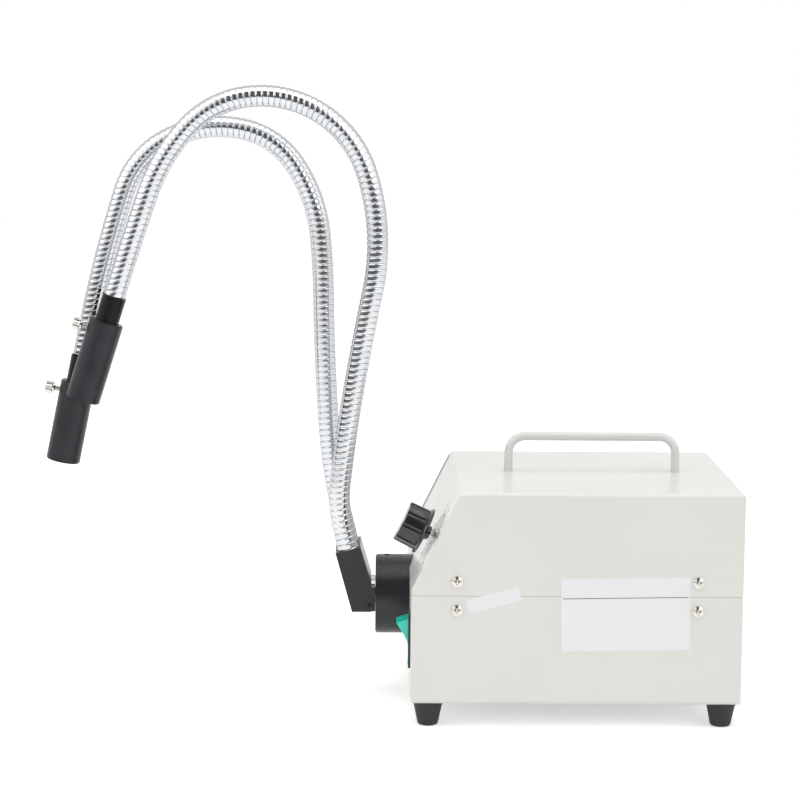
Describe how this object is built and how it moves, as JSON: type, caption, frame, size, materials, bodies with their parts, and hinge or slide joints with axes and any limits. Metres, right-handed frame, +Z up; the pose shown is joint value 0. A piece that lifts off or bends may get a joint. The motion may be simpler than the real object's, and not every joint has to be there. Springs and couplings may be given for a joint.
{
  "type": "fiber optic illuminator",
  "caption": "Fiber optic illuminator: cream box light source with a carrying handle, dimmer knob and rocker switch, and two gooseneck light guides with focusing heads.",
  "frame": {"origin": "on the bench under the middle of the bounding box, which includes the light guides in front of the box", "axes": "+X to the right of a person facing the front panel from behind the box, towards the near arm; +Y from the front panel to the back panel; +Z up"},
  "size_m": [0.205, 0.5222, 0.4608],
  "materials": {
    "housing_paint": "gloss cream-white powder paint",
    "black_plastic": "fine satin",
    "foot_rubber": "matt",
    "black_anodised": "black anodised, satin",
    "grey_anodised": "dark grey anodised, satin",
    "bright_steel": "plain bright",
    "hose_steel": "polished interlocked steel",
    "satin_aluminium": "satin",
    "lens_glass": "clear",
    "fibre_glass": "bundled glass fibre",
    "led_phosphor": "phosphor",
    "board_white": "solder mask",
    "board_green": "solder mask",
    "teal_plastic": "teal gloss",
    "brass_pins": "bright"
  },
  "bodies": {
    "housing": {"top_cover": "housing_paint", "base_tray": "housing_paint", "side_brackets": "bright_steel", "cover_screws": "bright_steel", "feet": "foot_rubber", "carry_handle": "housing_paint", "frame_screws": "bright_steel", "port_collar": "black_anodised", "port_ring": "black_anodised", "port_bracket": "bright_steel", "port_screws": "bright_steel", "port_set_screw": "black_anodised", "lens_holder": "black_plastic", "condenser_lens": "lens_glass", "led_emitter": "led_phosphor", "led_board": "board_white", "heat_sink": "satin_aluminium", "sink_posts": "bright_steel", "driver_board": "board_green", "board_components": "black_plastic", "board_standoffs": "bright_steel", "dimmer_pot": "bright_steel", "pot_nut": "bright_steel", "switch_housing": "black_plastic", "fan_frame": "black_plastic", "fan_guard": "bright_steel", "mains_inlet": "black_plastic", "inlet_pins": "brass_pins", "inlet_screws": "bright_steel"},
    "dimmer": {"dimmer_knob": "black_plastic", "knob_cap": "satin_aluminium", "pot_shaft": "bright_steel"},
    "rocker": {"power_rocker": "teal_plastic"},
    "fan": {"fan_rotor": "black_plastic"},
    "fuse": {"fuse_drawer": "black_plastic"},
    "guide": {"guide_plug": "bright_steel", "guide_block": "grey_anodised", "block_screws": "black_anodised", "fiber_common_end": "fibre_glass", "fiber_branches": "fibre_glass", "near_hose_base": "hose_steel", "far_hose_base": "hose_steel"},
    "near_mid": {"near_hose_mid": "hose_steel", "near_hose_crown": "hose_steel", "near_fiber_mid": "fibre_glass"},
    "near_end": {"near_hose_end": "hose_steel", "near_fiber_end": "fibre_glass", "near_ferrule": "black_anodised"},
    "near_focus": {"near_sleeve": "grey_anodised", "near_lens": "lens_glass"},
    "near_thumb": {"near_thumb_screw": "satin_aluminium"},
    "far_mid": {"far_hose_mid": "hose_steel", "far_hose_crown": "hose_steel", "far_fiber_mid": "fibre_glass"},
    "far_end": {"far_hose_end": "hose_steel", "far_fiber_end": "fibre_glass", "far_ferrule": "black_anodised"},
    "far_focus": {"far_sleeve": "grey_anodised", "far_lens": "lens_glass"},
    "far_thumb": {"far_thumb_screw": "satin_aluminium"}
  },
  "joints": [
    {"name": "dimmer_turn", "type": "hinge", "parent": "housing", "child": "dimmer", "pos_m": [0.068, 0.03271, 0.1359], "axis": [0, -0.8969, 0.4422], "range_deg": [-135, 135]},
    {"name": "rocker_tip", "type": "hinge", "parent": "housing", "child": "rocker", "pos_m": [0.068, 0.019, 0.0595], "axis": [1, 0, 0], "range_deg": [-30, 0]},
    {"name": "fan_spin", "type": "hinge", "parent": "housing", "child": "fan", "pos_m": [-0.05, 0.2445, 0.058], "axis": [0, 1, 0], "continuous": true},
    {"name": "fuse_slide", "type": "slide", "parent": "housing", "child": "fuse", "axis": [0, 1, 0], "range_m": [0, 0.012]},
    {"name": "guide_turn", "type": "hinge", "parent": "housing", "child": "guide", "pos_m": [0, -0.004, 0.078], "axis": [0, 1, 0], "range_deg": [-35, 35]},
    {"name": "near_base_bend", "type": "hinge", "parent": "guide", "child": "near_mid", "pos_m": [0.014, -0.03707, 0.1548], "axis": [1, 0, 0], "range_deg": [-20, 15], "deforming": ["near_hose_base"]},
    {"name": "near_crown_bend", "type": "hinge", "parent": "near_mid", "child": "near_end", "pos_m": [0.014, -0.09553, 0.45354], "axis": [1, 0, 0], "range_deg": [-30, 25], "deforming": ["near_hose_crown"]},
    {"name": "near_focus_slide", "type": "slide", "parent": "near_end", "child": "near_focus", "axis": [0, -0.3007, -0.9537], "range_m": [-0.008, 0.01]},
    {"name": "near_thumb_turn", "type": "hinge", "parent": "near_focus", "child": "near_thumb", "pos_m": [0.014, -0.21323, 0.27843], "axis": [0, -0.9537, 0.3007], "range_deg": [-180, 180]},
    {"name": "far_base_bend", "type": "hinge", "parent": "guide", "child": "far_mid", "pos_m": [-0.014, -0.03929, 0.15449], "axis": [1, 0, 0], "range_deg": [-20, 15], "deforming": ["far_hose_base"]},
    {"name": "far_crown_bend", "type": "hinge", "parent": "far_mid", "child": "far_end", "pos_m": [-0.014, -0.12818, 0.43035], "axis": [1, 0, 0], "range_deg": [-30, 25], "deforming": ["far_hose_crown"]},
    {"name": "far_focus_slide", "type": "slide", "parent": "far_end", "child": "far_focus", "axis": [0, -0.1994, -0.9799], "range_m": [-0.008, 0.01]},
    {"name": "far_thumb_turn", "type": "hinge", "parent": "far_focus", "child": "far_thumb", "pos_m": [-0.014, -0.23752, 0.22933], "axis": [0, -0.9799, 0.1994], "range_deg": [-180, 180]}
  ]
}
